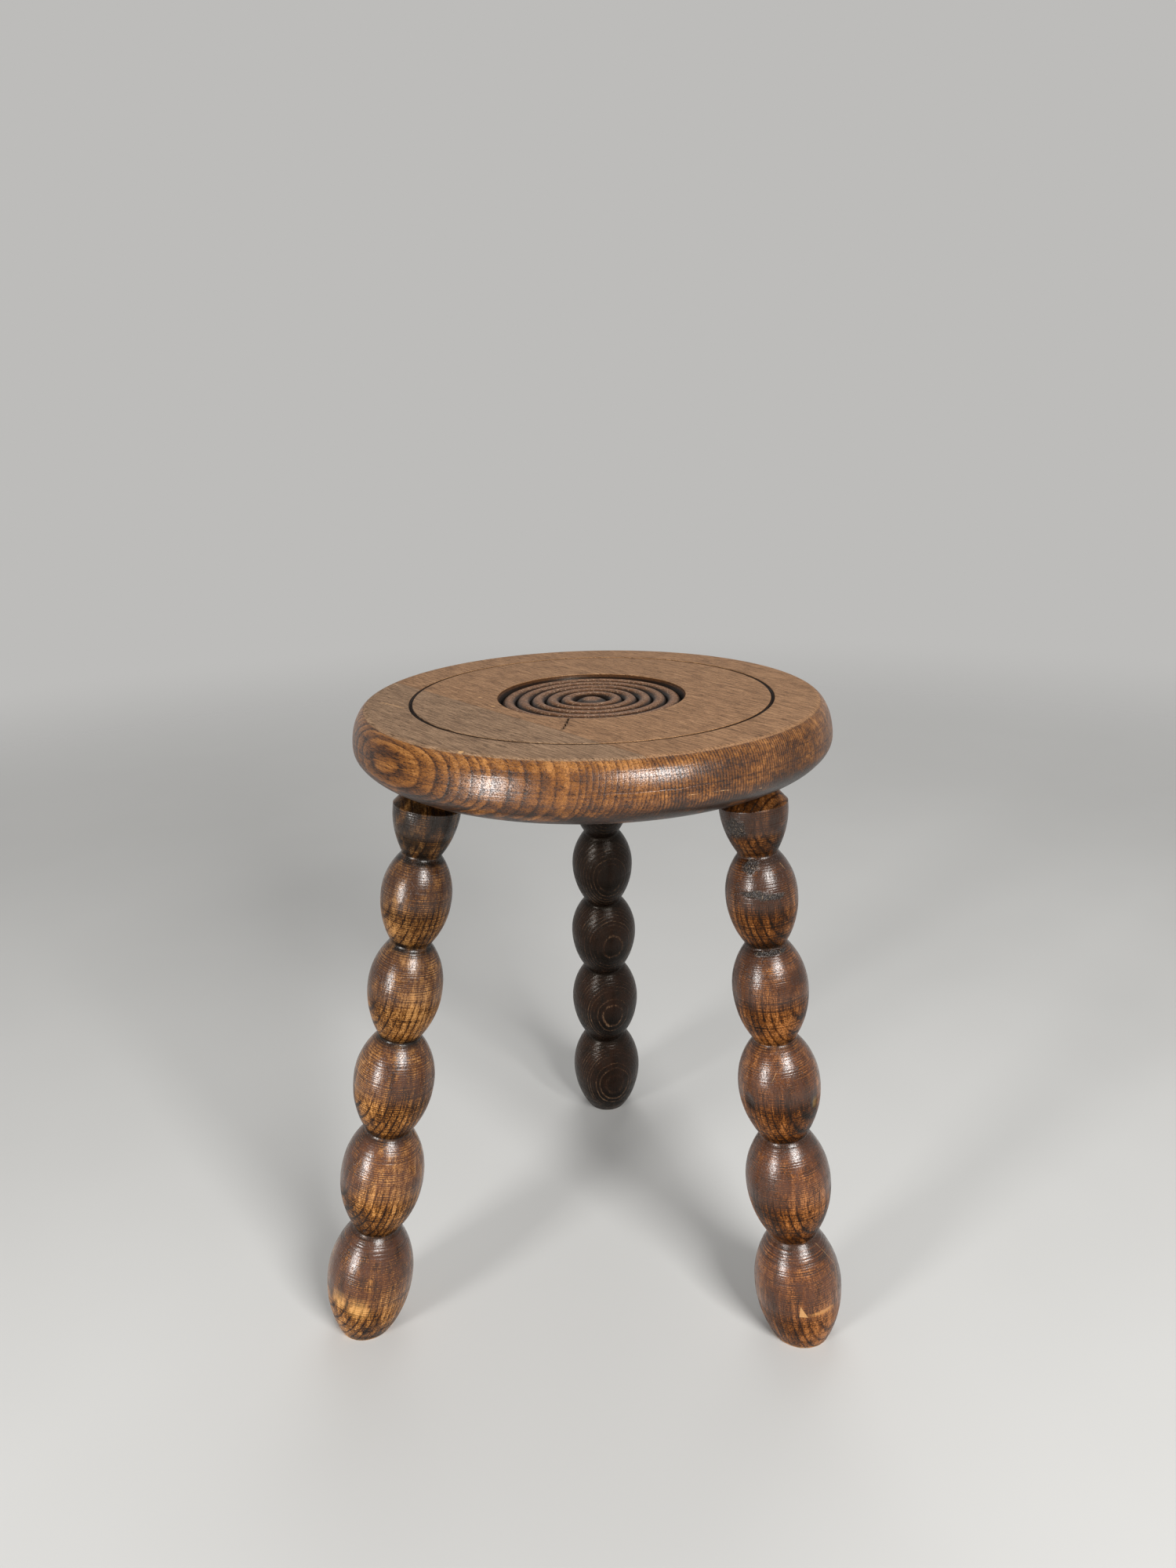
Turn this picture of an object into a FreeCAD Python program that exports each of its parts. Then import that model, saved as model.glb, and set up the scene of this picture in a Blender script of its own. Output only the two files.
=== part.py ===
import FreeCAD, Part
import math
import os

from FreeCAD import Vector

# A low three-legged stool in dark-stained hardwood. The round seat is glued up from two boards,
# with a ring groove and a recess of turned rings in its top. The turned legs are strings of
# egg-shaped beads that swell towards the floor, glued by round tenons into blind mortises.
# Lengths are in millimetres and angles in degrees. +Z is up, and Z is 0 on the floor.

# Seat, as turned
SEAT_HEIGHT = 450.0
SEAT_DIAMETER = 318.0
SEAT_THICKNESS = 48.0
TOP_ROUNDING_WIDTH = 12.0
TOP_ROUNDING_DEPTH = 23.0
UNDERSIDE_ROUNDING_WIDTH = 60.0

# Ring groove in the top, a plain V
GROOVE_DIAMETER = 240.0
GROOVE_WIDTH = 3.0
GROOVE_DEPTH = 2.0

# Recess in the middle of the top: a low boss and rings round it
RECESS_DIAMETER = 126.0
RECESS_DEPTH = 6.0
RECESS_WALL_WIDTH = 2.75
BOSS_DIAMETER = 23.0
RING_COUNT = 5
RING_HEIGHT = 4.0

# Boards of the seat: where the glue joint lies, and which way it faces
JOINT_OFFSET = 73.0
JOINT_AZIMUTH = 220.0

# Tenons and mortises
TENON_DIAMETER = 30.0
TENON_LENGTH = 30.0
TENON_CHAMFER = 2.0
GLUE_CLEARANCE = 0.1
MORTISE_SPARE_DEPTH = 2.0

# Turned profile of a leg, from the seat's underside down: a cone, a cup and the beads. Each
# bead takes its share of the length below the cup, and is widest at its own share of itself.
# The neck of a bead is the narrow place above it.
CONE_LENGTH = 9.0
CUP_DIAMETER = 44.0
CUP_LENGTH = 32.5
BEAD_DIAMETERS = [46.8, 50.2, 55.2, 58.2, 60.8]
NECK_DIAMETERS = [25.5, 26.5, 28.0, 31.4, 31.8]
BEAD_LENGTH_SHARES = [0.165, 0.182, 0.192, 0.209, 0.252]
BEAD_WIDEST_SHARES = [0.47, 0.47, 0.47, 0.47, 0.43]
LEG_TIP_DIAMETER = 24.0
NECK_FILLET = 2.0
FOOT_TRIM = 6.5

# Placing of the legs, bored by eye: azimuth of the mortise, splay from upright, and how far
# the splay turns away from straight outwards
LEG_CIRCLE_DIAMETER = 236.0
LEG_PLACES = {
    "leg_rear": {"azimuth": 87.0, "splay": 12.0, "turn": 2.5},
    "leg_left": {"azimuth": 207.0, "splay": 10.6, "turn": -12.5},
    "leg_right": {"azimuth": 327.0, "splay": 6.7, "turn": 3.5},
}

# Directions, and the height of the seat's underside
FULL_TURN = 360.0
ORIGIN = Vector(0, 0, 0)
OUTWARDS = Vector(1, 0, 0)
UP = Vector(0, 0, 1)
DOWN = -UP
UNDERSIDE_HEIGHT = SEAT_HEIGHT - SEAT_THICKNESS


def outline_point(radius, height):
    """A point of a turned outline, in the plane that is spun about Z."""
    return Vector(radius, 0, height)


def quarter_ellipse(centre, first, second):
    """A quarter of an ellipse about centre, from first to second, whichever axis is longer."""
    if (first - centre).Length >= (second - centre).Length:
        ellipse = Part.Ellipse(first, second, centre)
    else:
        ellipse = Part.Ellipse(second, first, centre)
    return ellipse.toShape(0, math.pi / 2)


def arc_from_crest(crest, end, along):
    """The circular arc from a crest, where it runs parallel to the unit vector along, to end."""
    span = end - crest
    run = span.dot(along)
    fall = span - along * run
    drop = fall.Length
    radius = (run**2 + drop**2) / (2 * drop)
    half_turn = math.atan2(abs(run), radius - drop) / 2
    side = along * math.copysign(radius * math.sin(half_turn), run)
    middle = crest + side + fall * (radius * (1 - math.cos(half_turn)) / drop)
    return Part.Arc(crest, middle, end).toShape()


def line(start, end):
    return Part.LineSegment(start, end).toShape()


def path(points):
    """Straight edges through the points."""
    return [line(start, end) for start, end in zip(points, points[1:])]


def turned(edges):
    """The solid spun from an outline whose ends lie on the Z axis."""
    face = Part.Face(Part.Wire(Part.__sortEdges__(edges)))
    return face.revolve(ORIGIN, UP, FULL_TURN)


def recess_edges():
    """The outline of the recess, from the axis out to its rim."""
    floor = SEAT_HEIGHT - RECESS_DEPTH
    crest = floor + RING_HEIGHT
    boss_radius = BOSS_DIAMETER / 2
    rim_radius = RECESS_DIAMETER / 2
    pitch = (rim_radius - RECESS_WALL_WIDTH - boss_radius) / RING_COUNT
    edges = [arc_from_crest(outline_point(0, crest), outline_point(boss_radius, floor), OUTWARDS)]
    for ring in range(RING_COUNT):
        inner = boss_radius + ring * pitch
        outer = inner + pitch
        middle = outline_point((inner + outer) / 2, crest)
        arc = Part.Arc(outline_point(inner, floor), middle, outline_point(outer, floor))
        edges.append(arc.toShape())
    wall_foot = outline_point(boss_radius + RING_COUNT * pitch, floor)
    edges.append(line(wall_foot, outline_point(rim_radius, SEAT_HEIGHT)))
    return edges


def seat_blank():
    """The whole turned seat, before it is split into its boards."""
    radius = SEAT_DIAMETER / 2
    widest = SEAT_HEIGHT - TOP_ROUNDING_DEPTH
    groove_radius = GROOVE_DIAMETER / 2
    top_edge = outline_point(radius - TOP_ROUNDING_WIDTH, SEAT_HEIGHT)
    rim = outline_point(radius, widest)
    underside_edge = outline_point(radius - UNDERSIDE_ROUNDING_WIDTH, UNDERSIDE_HEIGHT)
    top = [
        outline_point(RECESS_DIAMETER / 2, SEAT_HEIGHT),
        outline_point(groove_radius - GROOVE_WIDTH / 2, SEAT_HEIGHT),
        outline_point(groove_radius, SEAT_HEIGHT - GROOVE_DEPTH),
        outline_point(groove_radius + GROOVE_WIDTH / 2, SEAT_HEIGHT),
        top_edge,
    ]
    edges = recess_edges() + path(top)
    edges.append(quarter_ellipse(outline_point(top_edge.x, widest), top_edge, rim))
    edges.append(quarter_ellipse(outline_point(underside_edge.x, widest), rim, underside_edge))
    axis_foot = outline_point(0, UNDERSIDE_HEIGHT)
    axis_top = outline_point(0, SEAT_HEIGHT - RECESS_DEPTH + RING_HEIGHT)
    edges += path([underside_edge, axis_foot, axis_top])
    return turned(edges)


def bead_heights():
    """The heights in the leg's own frame where a bead starts, and last the leg's tip."""
    steepest = max(place["splay"] for place in LEG_PLACES.values())
    leg_length = UNDERSIDE_HEIGHT / math.cos(math.radians(steepest)) + FOOT_TRIM
    height = -(CONE_LENGTH + CUP_LENGTH)
    beads_length = leg_length + height
    heights = [height]
    for share in BEAD_LENGTH_SHARES:
        height -= share * beads_length
        heights.append(height)
    return heights


def bead_edges(index, top, bottom):
    """The two arcs of one bead, which meet where it is widest."""
    diameters = NECK_DIAMETERS + [LEG_TIP_DIAMETER]
    crest_height = top + (bottom - top) * BEAD_WIDEST_SHARES[index]
    crest = outline_point(BEAD_DIAMETERS[index] / 2, crest_height)
    start = outline_point(diameters[index] / 2, top)
    end = outline_point(diameters[index + 1] / 2, bottom)
    return [arc_from_crest(crest, start, DOWN), arc_from_crest(crest, end, DOWN)]


def turned_leg():
    """A leg as it leaves the lathe, with Z 0 where its axis meets the seat's underside."""
    tenon_radius = TENON_DIAMETER / 2
    heights = bead_heights()
    tip = heights[-1]
    cup_rim = outline_point(CUP_DIAMETER / 2, -CONE_LENGTH)
    first_neck = outline_point(NECK_DIAMETERS[0] / 2, heights[0])
    head = [
        outline_point(0, TENON_LENGTH),
        outline_point(tenon_radius - TENON_CHAMFER, TENON_LENGTH),
        outline_point(tenon_radius, TENON_LENGTH - TENON_CHAMFER),
        outline_point(tenon_radius, 0),
        cup_rim,
    ]
    edges = path(head)
    edges.append(arc_from_crest(cup_rim, first_neck, DOWN))
    for index, (top, bottom) in enumerate(zip(heights, heights[1:])):
        edges += bead_edges(index, top, bottom)
    foot = [outline_point(LEG_TIP_DIAMETER / 2, tip), outline_point(0, tip)]
    edges += path(foot + [outline_point(0, TENON_LENGTH)])
    leg = turned(edges)
    return leg.makeFillet(NECK_FILLET, neck_circles(leg, heights[:-1]))


def neck_circles(leg, heights):
    """The circles at the given heights, where the cup or a bead meets the next bead."""
    found = []
    for edge in leg.Edges:
        box = edge.BoundBox
        level = box.ZLength < GLUE_CLEARANCE
        if level and any(abs(box.Center.z - height) < GLUE_CLEARANCE for height in heights):
            found.append(edge)
    return found


def mortise_tool():
    """The bore for a tenon, eased at its mouth to the cone of the leg."""
    bore_radius = TENON_DIAMETER / 2 + GLUE_CLEARANCE
    depth = TENON_LENGTH + MORTISE_SPARE_DEPTH
    points = [
        outline_point(0, depth),
        outline_point(bore_radius, depth),
        outline_point(bore_radius, 0),
        outline_point(CUP_DIAMETER / 2 + GLUE_CLEARANCE, -CONE_LENGTH),
        outline_point(0, -CONE_LENGTH),
        outline_point(0, depth),
    ]
    return turned(path(points))


def set_at_leg(shape, place):
    """Moves a shape from the leg's own frame to its place under the seat."""
    azimuth = math.radians(place["azimuth"])
    reach = LEG_CIRCLE_DIAMETER / 2
    moved = shape.copy()
    moved.rotate(ORIGIN, Vector(0, 1, 0), -place["splay"])
    moved.rotate(ORIGIN, UP, place["azimuth"] + place["turn"])
    mouth = Vector(reach * math.cos(azimuth), reach * math.sin(azimuth), UNDERSIDE_HEIGHT)
    moved.translate(mouth)
    return moved


def below_floor():
    """A block under the floor, wide enough to trim every foot level."""
    size = SEAT_DIAMETER + SEAT_HEIGHT
    return Part.makeBox(2 * size, 2 * size, size, Vector(-size, -size, -size))


def narrow_side():
    """A block that takes in all of the seat beyond the glue joint."""
    size = SEAT_DIAMETER
    block = Part.makeBox(size, 2 * size, 2 * SEAT_HEIGHT, Vector(JOINT_OFFSET, -size, 0))
    block.rotate(ORIGIN, UP, JOINT_AZIMUTH)
    return block


def build():
    """Every piece by its node's name, with the origin under the middle of the stool's box."""
    seat = seat_blank()
    leg = turned_leg()
    bore = mortise_tool()
    floor_block = below_floor()
    pieces = {}
    for name, place in LEG_PLACES.items():
        seat = seat.cut(set_at_leg(bore, place))
        pieces[name] = set_at_leg(leg, place).cut(floor_block)
    side = narrow_side()
    pieces["seat_board_narrow"] = seat.common(side)
    pieces["seat_board_wide"] = seat.cut(side)
    box = Part.makeCompound(list(pieces.values())).optimalBoundingBox(False, False)
    to_origin = Vector(-box.Center.x, -box.Center.y, 0)
    for shape in pieces.values():
        shape.translate(to_origin)
    return pieces, to_origin


def main():
    os.makedirs("parts", exist_ok=True)
    pieces, seat_axis = build()
    print(f"seat axis at {seat_axis.x:.3f}, {seat_axis.y:.3f} mm")
    for name, shape in pieces.items():
        print(f"{name}: {len(shape.Solids)} solid, valid {shape.isValid()}")
        shape.exportStep(f"parts/{name}.step")


main()
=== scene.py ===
import functools
import math
import random

import bmesh
import bpy
import numpy as np
from mathutils import Matrix, Vector, noise


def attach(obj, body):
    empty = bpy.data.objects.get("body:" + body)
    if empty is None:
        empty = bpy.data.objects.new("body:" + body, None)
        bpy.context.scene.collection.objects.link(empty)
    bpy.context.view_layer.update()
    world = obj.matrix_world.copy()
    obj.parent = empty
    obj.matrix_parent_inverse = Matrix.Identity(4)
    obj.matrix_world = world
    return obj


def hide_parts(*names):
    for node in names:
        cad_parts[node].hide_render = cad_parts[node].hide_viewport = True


# The looks of a low three-legged stool in dark-stained hardwood: a round seat of two boards with
# a recess of turned rings, on three legs turned as strings of beads. Each piece is a fine mesh
# as it left the lathe, with its tool marks and wear cut into it, under a wood material whose
# growth rings and pores run through the piece in three dimensions.
# Lengths are in millimetres and angles in degrees. Meshes are scaled to metres as they are made.
MM = 0.001

# Seat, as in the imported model
SEAT_HEIGHT = 450.0
SEAT_DIAMETER = 318.0
SEAT_THICKNESS = 48.0
TOP_ROUNDING_WIDTH = 12.0
TOP_ROUNDING_DEPTH = 23.0
UNDERSIDE_ROUNDING_WIDTH = 60.0
GROOVE_DIAMETER = 240.0
GROOVE_WIDTH = 3.0
GROOVE_DEPTH = 2.0
RECESS_DIAMETER = 126.0
RECESS_DEPTH = 6.0
RECESS_WALL_WIDTH = 2.75
BOSS_DIAMETER = 23.0
RING_COUNT = 5
RING_HEIGHT = 4.0
JOINT_OFFSET = 73.0
JOINT_AZIMUTH = 220.0
SEAT_AXIS = np.array([17.313, -33.037, 0.0])

# Legs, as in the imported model
TENON_DIAMETER = 30.0
TENON_LENGTH = 30.0
TENON_CHAMFER = 2.0
GLUE_CLEARANCE = 0.1
MORTISE_SPARE_DEPTH = 2.0
CONE_LENGTH = 9.0
CUP_DIAMETER = 44.0
CUP_LENGTH = 32.5
BEAD_DIAMETERS = [46.8, 50.2, 55.2, 58.2, 60.8]
NECK_DIAMETERS = [25.5, 26.5, 28.0, 31.4, 31.8]
BEAD_LENGTH_SHARES = [0.165, 0.182, 0.192, 0.209, 0.252]
BEAD_WIDEST_SHARES = [0.47, 0.47, 0.47, 0.47, 0.43]
LEG_TIP_DIAMETER = 24.0
NECK_BLEND = 2.4
FOOT_TRIM = 6.5
FOOT_EDGE_WEAR = 0.8
FOOT_SCUFF_HEIGHT = 3.0
LEG_CIRCLE_DIAMETER = 236.0
LEG_PLACES = {
    "leg_rear": {"azimuth": 87.0, "splay": 12.0, "turn": 2.5},
    "leg_left": {"azimuth": 207.0, "splay": 10.6, "turn": -12.5},
    "leg_right": {"azimuth": 327.0, "splay": 6.7, "turn": 3.5},
}
UNDERSIDE_HEIGHT = SEAT_HEIGHT - SEAT_THICKNESS

# Fineness of the meshes
LEG_SEGMENTS = 104
LEG_RING_STEP = 0.45
TENON_RING_STEP = 5.0
SEAT_SEGMENTS = 620
MORTISE_SEGMENTS = 96
FLOOR_SEGMENTS = 96
BOSS_STEPS = 28
RING_STEPS = 12
WALL_STEPS = 6
GROOVE_STEPS = 4
INNER_FLAT_STEPS = 20
OUTER_FLAT_STEPS = 10
UPPER_ROUNDING_STEPS = 26
LOWER_ROUNDING_STEPS = 28
UNDERSIDE_STEPS = 11

# The camera, from its fit to the photograph: focal length in pixels of the 2000 pixel side
PHOTO_HEIGHT = 2000
FOCAL_LENGTH_PIXELS = 1423.5
SENSOR_WIDTH = 36.0
CAMERA_PLACE = (13.53, -761.87, 625.22)
CAMERA_PITCH = 18.11
CAMERA_ROLL = 1.5
CLIP_START = 10.0

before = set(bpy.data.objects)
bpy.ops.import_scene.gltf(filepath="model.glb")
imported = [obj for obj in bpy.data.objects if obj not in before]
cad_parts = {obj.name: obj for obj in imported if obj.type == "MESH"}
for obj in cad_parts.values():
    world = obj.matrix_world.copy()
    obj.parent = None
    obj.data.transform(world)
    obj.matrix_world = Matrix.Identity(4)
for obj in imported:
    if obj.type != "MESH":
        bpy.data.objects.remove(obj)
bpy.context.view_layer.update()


def smooth_noise(points, cell, seed):
    """Smooth noise from -1 to 1 at points, in cells of about the given size or sizes."""
    places = points / np.asarray(cell, float) + seed
    return np.array([noise.noise(place) for place in places])


def smooth_step(value, low, high):
    """0 below low, 1 above high, with a smooth rise between them."""
    share = np.clip((value - low) / (high - low), 0, 1)
    return share * share * (3 - 2 * share)


def smooth_max(first, second, blend):
    """The larger of two values, rounded where they cross."""
    nearness = np.maximum(blend - np.abs(first - second), 0) / blend
    return np.maximum(first, second) + nearness**2 * blend / 4


def polar(radius, degrees):
    return radius * math.cos(math.radians(degrees)), radius * math.sin(math.radians(degrees))


def spun(outline, segments):
    """The points of an outline of (radius, height) spun about Z, and which way each one faces."""
    angles = np.arange(segments) * 2 * math.pi / segments
    outward = np.tile(np.stack([np.cos(angles), np.sin(angles)], 1), (len(outline), 1))
    radius, height = np.repeat(np.asarray(outline, float), segments, axis=0).T
    return np.column_stack([outward * radius[:, None], height]), outward


def in_scene(name, data):
    """A new object of the scene."""
    made = bpy.data.objects.new(name, data)
    bpy.context.scene.collection.objects.link(made)
    return made


def new_mesh_object(name, points, faces, shares=None):
    """An object at the origin from points in millimetres, with a named share at each point."""
    mesh = bpy.data.meshes.new(name)
    mesh.from_pydata([tuple(point) for point in np.asarray(points) * MM], [], faces)
    mesh.shade_smooth()
    for key, values in (shares or {}).items():
        layer = mesh.attributes.new(key, "FLOAT", "POINT")
        layer.data.foreach_set("value", np.asarray(values, np.float32))
    return in_scene(name, mesh)


def lathe_faces(rings, segments):
    """Quads between rings of points, and fans to a last but one point on top and a last below."""
    faces = []
    last = (rings - 1) * segments
    sides = [(segment, (segment + 1) % segments) for segment in range(segments)]
    for upper in range(0, last, segments):
        lower = upper + segments
        faces += [(upper + here, lower + here, lower + after, upper + after) for here, after in sides]
    for here, after in sides:
        faces.append((last + segments, here, after))
        faces.append((last + segments + 1, last + after, last + here))
    return faces


# Legs

def crests_and_necks():
    """The (height, radius) pairs of a leg's widest places and of its narrow ones, the tip last."""
    steepest = max(place["splay"] for place in LEG_PLACES.values())
    leg_length = UNDERSIDE_HEIGHT / math.cos(math.radians(steepest)) + FOOT_TRIM
    first = -(CONE_LENGTH + CUP_LENGTH)
    starts = first - np.cumsum([0, *BEAD_LENGTH_SHARES]) * (leg_length + first)
    widest = starts[:-1] + np.diff(starts) * BEAD_WIDEST_SHARES
    necks = list(zip(starts, np.array([*NECK_DIAMETERS, LEG_TIP_DIAMETER]) / 2))
    crests = [(-CONE_LENGTH, CUP_DIAMETER / 2), *zip(widest, np.array(BEAD_DIAMETERS) / 2)]
    return crests, necks


def arc_radius(height, crest, end):
    """Radius on the arc that runs along the axis at its crest and passes through end."""
    run, drop = abs(end[0] - crest[0]), crest[1] - end[1]
    bow = (run**2 + drop**2) / (2 * drop)
    reach = np.minimum(np.abs(height - crest[0]), bow)
    return crest[1] - bow + np.sqrt(bow**2 - reach**2)


def leg_radius(heights):
    """The turned radius at each height in the leg's own frame."""
    heights = np.asarray(heights, float)
    crests, necks = crests_and_necks()
    tenon = TENON_DIAMETER / 2
    places = [-CONE_LENGTH, 0, TENON_LENGTH - TENON_CHAMFER, TENON_LENGTH]
    radius = np.interp(heights, places, [CUP_DIAMETER / 2, tenon, tenon, tenon - TENON_CHAMFER])
    for upper, lower, neck in zip(crests, crests[1:], necks):
        arcs = [arc_radius(heights, crest, neck) for crest in (upper, lower)]
        waist = smooth_max(*arcs, NECK_BLEND)
        radius = np.where((heights <= upper[0]) & (heights > lower[0]), waist, radius)
    tip = arc_radius(heights, crests[-1], necks[-1])
    return np.where(heights <= crests[-1][0], tip, radius)


def leg_ring_heights():
    """The heights of a leg mesh's rings, from the tenon's end down to the tip."""
    _, necks = crests_and_necks()
    straight = TENON_LENGTH - TENON_CHAMFER
    body = np.arange(necks[-1][0], 0, LEG_RING_STEP)
    tenon = np.arange(0, straight, TENON_RING_STEP)
    return np.concatenate([body, tenon, [straight, TENON_LENGTH]])[::-1]


# Tool marks of the lathe: the gaps between lines in rings of the mesh, how strong the lines are
# and how deep the strongest is
LINE_RING_GAPS = (2, 3, 3, 3, 4)
LINE_STRENGTHS = (0.35, 1.0)
LINE_DEPTH = 0.18
CRISP_LINE_RING_GAP = 5
CRISP_LINE_RING_SHIFTS = (-1, 0, 0, 1)
CRISP_LINE_COUNT = 5
CRISP_LINE_RINGS = 2
CRISP_LINE_STRENGTHS = (0.6, 1.1)
LINE_FADE_CELLS = (13.0, 13.0, 13.0 / 3)
LINE_FADE = 0.75
FAINTEST_LINE = 0.15
DENT_CELL = 24.0
DENT_DEPTH = 0.25
DENT_SPREAD = 0.3


def line_cut(heights, draw):
    """How strong the turning lines are at each height, crisper on the foot's shoulder."""
    _, necks = crests_and_necks()
    cut = np.zeros(len(heights))
    ring = int(np.argmax(heights < -CONE_LENGTH)) + LINE_RING_GAPS[0]
    while ring < len(heights):
        cut[ring] = draw.uniform(*LINE_STRENGTHS)
        ring += draw.choice(LINE_RING_GAPS)
    neck_ring = int(np.argmax(heights < necks[-2][0]))
    for index in range(CRISP_LINE_COUNT):
        ring = neck_ring + CRISP_LINE_RING_GAP * (index + 1) + draw.choice(CRISP_LINE_RING_SHIFTS)
        cut[ring : ring + CRISP_LINE_RINGS] = draw.uniform(*CRISP_LINE_STRENGTHS)
    return cut


def leg_frame(place):
    """Where a leg's axis meets the underside, and the leg's axes as columns of a matrix."""
    x, y = polar(LEG_CIRCLE_DIAMETER / 2, place["azimuth"])
    mouth = SEAT_AXIS + np.array([x, y, UNDERSIDE_HEIGHT])
    turn = Matrix.Rotation(math.radians(place["azimuth"] + place["turn"]), 3, "Z")
    lean = Matrix.Rotation(-math.radians(place["splay"]), 3, "Y")
    return mouth, np.array(turn @ lean)


def trimmed(points, mouth, axes):
    """Slides points below the floor along the leg until they lie on it, with a worn edge."""
    height = (points @ axes.T + mouth)[:, 2]
    kept = smooth_max(height, np.zeros_like(height), FOOT_EDGE_WEAR)
    kept = np.where(height < -FOOT_EDGE_WEAR, 0, kept)
    points[:, 2] += (kept - height) / axes[2, 2]
    return points


# Marks of age on the legs: what kind, the height and angle of its middle in the leg's own frame,
# its half height and half width, and how deep it is cut
LEG_MARKS = {
    "leg_left": [
        ("worn", -371.0, 40.0, 8.0, 8.0, 0.1),
        ("worn", -373.0, 70.0, 9.0, 9.0, 0.1),
    ],
    "leg_right": [
        ("rough", -20.0, -104.0, 7.5, 8.0, 0.5),
        ("dark", -17.8, -33.0, 4.5, 4.5, 0.5),
        ("rough", -46.4, -87.0, 4.5, 6.0, 0.5),
        ("rough", -62.5, -82.0, 2.4, 9.0, 0.4),
        ("rough", -65.0, -50.0, 2.2, 11.0, 0.4),
        ("rough", -106.0, -60.0, 1.6, 12.0, 0.3),
        ("dark", -124.0, -27.0, 3.5, 2.5, 0.4),
        ("dark", -209.0, -116.0, 6.0, 4.0, 0.7),
        ("dark", -213.0, -15.0, 6.5, 3.5, 0.3),
        ("worn", -214.0, -12.0, 5.0, 2.6, 0.4),
        ("worn", -370.0, -36.0, 1.8, 11.0, 0.1),
    ],
}
MARK_REACH = 1.6
MARK_EDGES = {"rough": (0.7, 1.15), "dark": (0.2, 1.3), "worn": (0.2, 1.3)}
MARK_EDGE_CELL = 2.5
MARK_RAGGEDNESS = 0.3
MARK_GRAIN_CELL = 1.5
# How much darker a leg is: in its necks, and towards the seat between two heights, where it is partly
# dirt and partly painted shade of the seat
NECK_DARKENING = 0.75
NECK_DARKENING_REACH = 3.5
# Darkening towards the seat: painted shade of the seat over the cone, cup and upper beads, with some
# dirt
SEAT_SHADE_AND_GRIME = ((0.6, -260.0, -60.0), (0.35, -48.0, -36.0))
SHOULDER_SHARES = (0.3, 0.66)
SCUFF_STRENGTH = 0.8
# What sets the noise of dents and pits apart from that of the lines
DENT_SEED = 7
PIT_SEED = 3


def mark_share(points, mark, seed):
    """How far each point lies within a mark, from 0 to 1, with a ragged edge."""
    kind, height, angle, half_height, half_width, _ = mark
    turn = np.arctan2(points[:, 1], points[:, 0]) - math.radians(angle)
    turn = (turn + math.pi) % (2 * math.pi) - math.pi
    sideways = turn * np.hypot(points[:, 0], points[:, 1]) / half_width
    away = np.hypot(sideways, (points[:, 2] - height) / half_height)
    share = np.zeros(len(points))
    near = away < MARK_REACH
    ragged = away[near] + MARK_RAGGEDNESS * smooth_noise(points[near], MARK_EDGE_CELL, seed)
    share[near] = 1 - smooth_step(ragged, *MARK_EDGES[kind])
    return share


def bead_shares(heights):
    """How much upper shoulder of a bead each height is, and how dark with dirt and painted shade."""
    _, necks = crests_and_necks()
    starts = [-CONE_LENGTH] + [height for height, _ in necks]
    shoulder = np.zeros(len(heights))
    for start, end in zip(starts, starts[1:]):
        down = (start - heights) / (start - end)
        within = (down >= 0) & (down <= 1)
        shoulder = np.where(within, 1 - smooth_step(down, *SHOULDER_SHARES), shoulder)
    from_neck = np.min([np.abs(heights - height) for height, _ in necks[:-1]], axis=0)
    grime_and_shade = NECK_DARKENING * np.exp(-((from_neck / NECK_DARKENING_REACH) ** 2))
    for strength, start, end in SEAT_SHADE_AND_GRIME:
        grime_and_shade = grime_and_shade + strength * smooth_step(heights, start, end)
    return shoulder, np.clip(grime_and_shade, 0, 1)


def tool_marks(points, heights, seed):
    """How strong the turning lines are at each point, and how deep lines and dents are cut."""
    fade = LINE_FADE + smooth_noise(points, LINE_FADE_CELLS, seed)
    lines = np.repeat(line_cut(heights, random.Random(seed)), LEG_SEGMENTS)
    lines = lines * np.clip(fade, FAINTEST_LINE, 1)
    dents = np.clip(smooth_noise(points, DENT_CELL, seed + DENT_SEED) + DENT_SPREAD, 0, 1)
    return lines, LINE_DEPTH * lines + DENT_DEPTH * dents


def marks_of_age(points, name, seed):
    """The share of each kind of mark at each point, and how deep the marks are cut."""
    shares = {kind: np.zeros(len(points)) for kind in MARK_EDGES}
    cut = np.zeros(len(points))
    pitted = np.clip(0.55 + 0.9 * smooth_noise(points, MARK_GRAIN_CELL, seed + PIT_SEED), 0, 1)
    for mark in LEG_MARKS.get(name, []):
        kind, depth = mark[0], mark[-1]
        share = mark_share(points, mark, seed)
        shares[kind] = np.maximum(shares[kind], share)
        cut += depth * share * (pitted if kind == "rough" else 1)
    return shares, cut


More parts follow.
